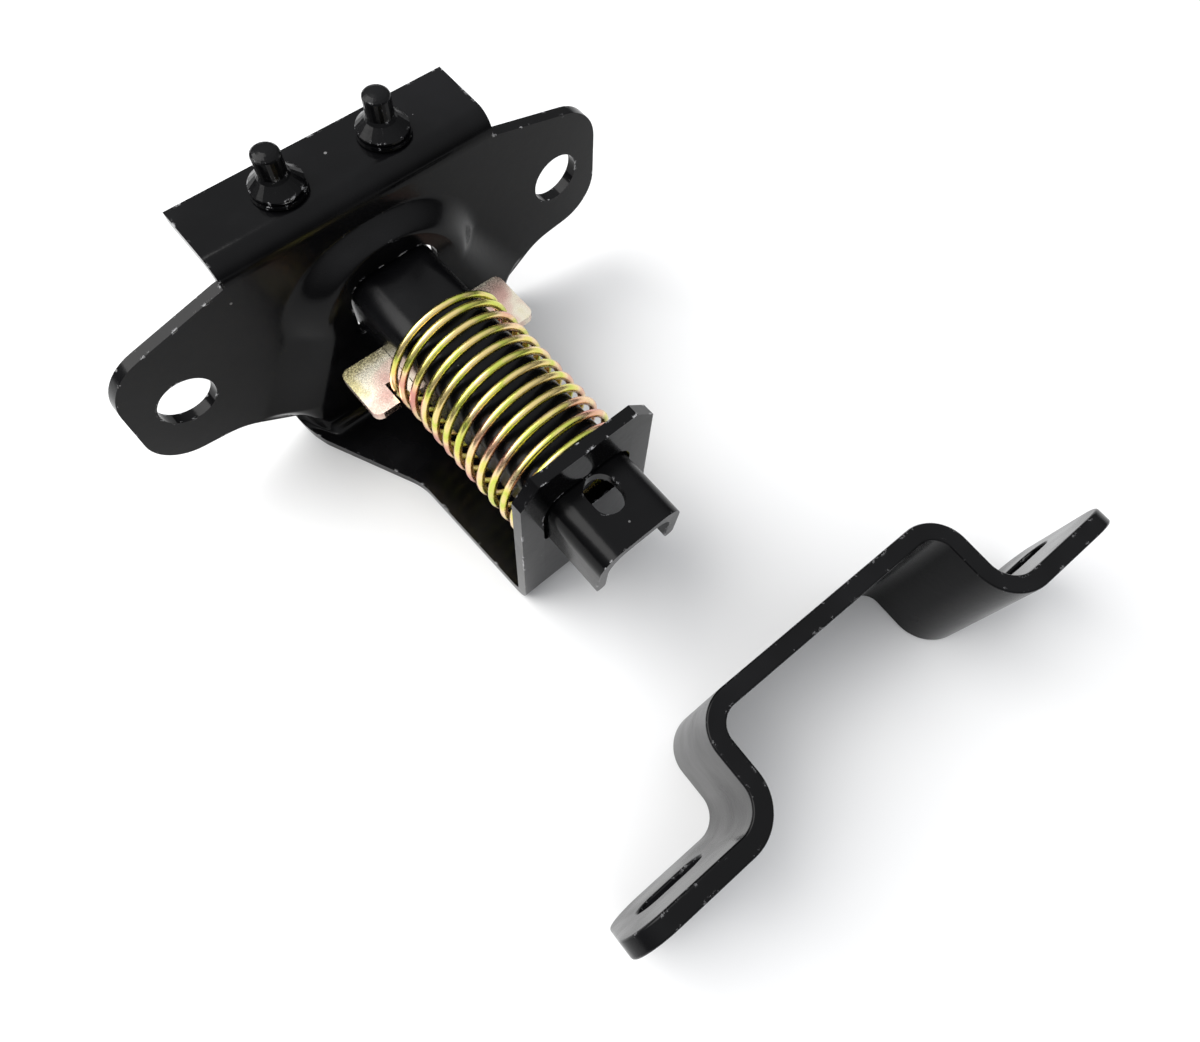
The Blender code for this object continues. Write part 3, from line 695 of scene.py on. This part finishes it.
strap_low, strap_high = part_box("striker")
strap_height = strap_high.z - strap_low.z
strap_front = rounded_path(
    [
        (-STRAP_HALF, 0.0, 0),
        (-HAT_HALF, 0.0, FOOT_BEND),
        (-HAT_HALF, HAT_DEPTH, HAT_BEND + STRAP_SHEET),
        (HAT_HALF, HAT_DEPTH, HAT_BEND + STRAP_SHEET),
        (HAT_HALF, 0.0, FOOT_BEND),
        (STRAP_HALF, 0.0, 0),
    ],
    bend_steps=STRAP_BEND_STEPS,
)
inner_half = HAT_HALF - STRAP_SHEET
strap_back = rounded_path(
    [
        (STRAP_HALF, -STRAP_SHEET, 0),
        (inner_half, -STRAP_SHEET, FOOT_BEND + STRAP_SHEET),
        (inner_half, HAT_DEPTH - STRAP_SHEET, HAT_BEND),
        (-inner_half, HAT_DEPTH - STRAP_SHEET, HAT_BEND),
        (-inner_half, -STRAP_SHEET, FOOT_BEND + STRAP_SHEET),
        (-STRAP_HALF, -STRAP_SHEET, 0),
    ],
    bend_steps=STRAP_BEND_STEPS,
)
strap = pushed(strap_front + strap_back, 0.0, strap_height, upright=True)
strap.name = "striker_strap"
strap_punches = []
for side in (-1, 1):
    slot_x = side * (STRAP_HALF - STRAP_SLOT_FROM_END)
    hole = slot_of(STRAP_SLOT_LENGTH, STRAP_SLOT_WIDTH, slot_x, strap_height / 2)
    strap_punches.append(pushed(hole, -2 * STRAP_SHEET, STRAP_SHEET))
    for up in (0, 1):
        level = up * strap_height
        past = level + STRAP_SHEET * (2 * up - 1)
        trim = rounded_path(
            [
                (side * (STRAP_HALF - STRAP_END_R), past, 0),
                (side * (STRAP_HALF - STRAP_END_R), level, 0),
                (side * STRAP_HALF, level, STRAP_END_R),
                (side * STRAP_HALF, level + STRAP_END_R * (1 - 2 * up), 0),
                (side * (STRAP_HALF + STRAP_SHEET), level + STRAP_END_R * (1 - 2 * up), 0),
                (side * (STRAP_HALF + STRAP_SHEET), past, 0),
            ]
        )
        spaced = [trim[0]]
        for point in trim[1:]:
            if (point - spaced[-1]).length > SAME_SPOT:
                spaced.append(point)
        strap_punches.append(pushed(spaced, -2 * STRAP_SHEET, STRAP_SHEET))
pierce(strap, strap_punches)
strap.data.transform(Matrix.Translation(STRAP_SPOT) @ Matrix.Rotation(STRAP_TURN, 4, "Z"))
strap.data.materials.append(striker_paint)
ease_edges(strap, STRAP_EDGE)
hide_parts("striker")
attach(strap, "striker")


# ---------------------------------------------------------------- table, light and camera
# A white studio table under a large soft light that hangs behind the latch and to its left.

TABLE_HALF = 3.0
table_mesh = bmesh.new()
bmesh.ops.create_grid(table_mesh, x_segments=1, y_segments=1, size=TABLE_HALF)
table_data = bpy.data.meshes.new("table")
table_mesh.to_mesh(table_data)
table_mesh.free()
table = bpy.data.objects.new("table", table_data)
table.location.z = cad_box[0].z - 0.05 * MM
bpy.context.scene.collection.objects.link(table)
table_mat, table_tree, table_shader, table_place = start_material("white_table")
table_tone = cloud(table_tree, table_place, 25.0)
table_mix = blend_colour(table_tree, table_tone, (0.86, 0.865, 0.875, 1.0), (0.90, 0.90, 0.895, 1.0))
table_tree.links.new(table_mix, table_shader.inputs["Base Color"])
table_shader.inputs["Roughness"].default_value = 0.55
table_shader.inputs["Specular IOR Level"].default_value = 0.3
table_data.materials.append(table_mat)


def soft_light(name, spot, aim, size, watts, colour):
    """A square soft light at spot, turned to face aim."""
    lamp = bpy.data.lights.new(name, "AREA")
    lamp.shape = "SQUARE"
    lamp.size = size
    lamp.energy = watts
    lamp.color = colour
    holder = bpy.data.objects.new(name, lamp)
    holder.location = spot
    holder.rotation_euler = (Vector(aim) - Vector(spot)).to_track_quat("-Z", "Y").to_euler()
    bpy.context.scene.collection.objects.link(holder)
    return holder


LAMP_SPOT = (-0.34, 0.36, 0.60)
LAMP_AIM = (0.0, -0.03, 0.0)
LAMP_SIZE = 0.70
LAMP_WATTS = 7.2
LAMP_TINT = (1.0, 0.99, 0.975)
soft_light("overhead", LAMP_SPOT, LAMP_AIM, LAMP_SIZE, LAMP_WATTS, LAMP_TINT)

world = bpy.data.worlds.new("studio")
bpy.context.scene.world = world
world.use_nodes = True
backdrop = world.node_tree.nodes["Background"]
backdrop.inputs["Color"].default_value = (0.97, 0.98, 1.0, 1.0)
way_up = world.node_tree.nodes.new("ShaderNodeTexCoord").outputs["Generated"]
height = add(world.node_tree, "ShaderNodeSeparateXYZ", Vector=way_up).outputs["Z"]
SKYLINE_GLOW = 0.14
OVERHEAD_GLOW = 1.0
glow = spread(world.node_tree, height, 0.0, 0.97, SKYLINE_GLOW, OVERHEAD_GLOW)
world.node_tree.links.new(glow, backdrop.inputs["Strength"])

# The camera looks steeply down from in front of the latch and to its left.
EYE = Vector((-36.47, -61.25, 139.03)) * MM
LOOK = Vector((0.28956551, 0.24051273, -0.92644775))
RIGHT = Vector((0.75350105, -0.65415708, 0.06568618))
UP = RIGHT.cross(LOOK)
camera_data = bpy.data.cameras.new("camera")
camera_data.sensor_width = 36.0
camera_data.lens = 24.16
camera_data.clip_start = 0.005
camera = bpy.data.objects.new("camera", camera_data)
camera.matrix_world = Matrix.Translation(EYE) @ Matrix((RIGHT, UP, -LOOK)).transposed().to_4x4()
bpy.context.scene.collection.objects.link(camera)
bpy.context.scene.camera = camera
bpy.context.scene.view_settings.view_transform = "Standard"
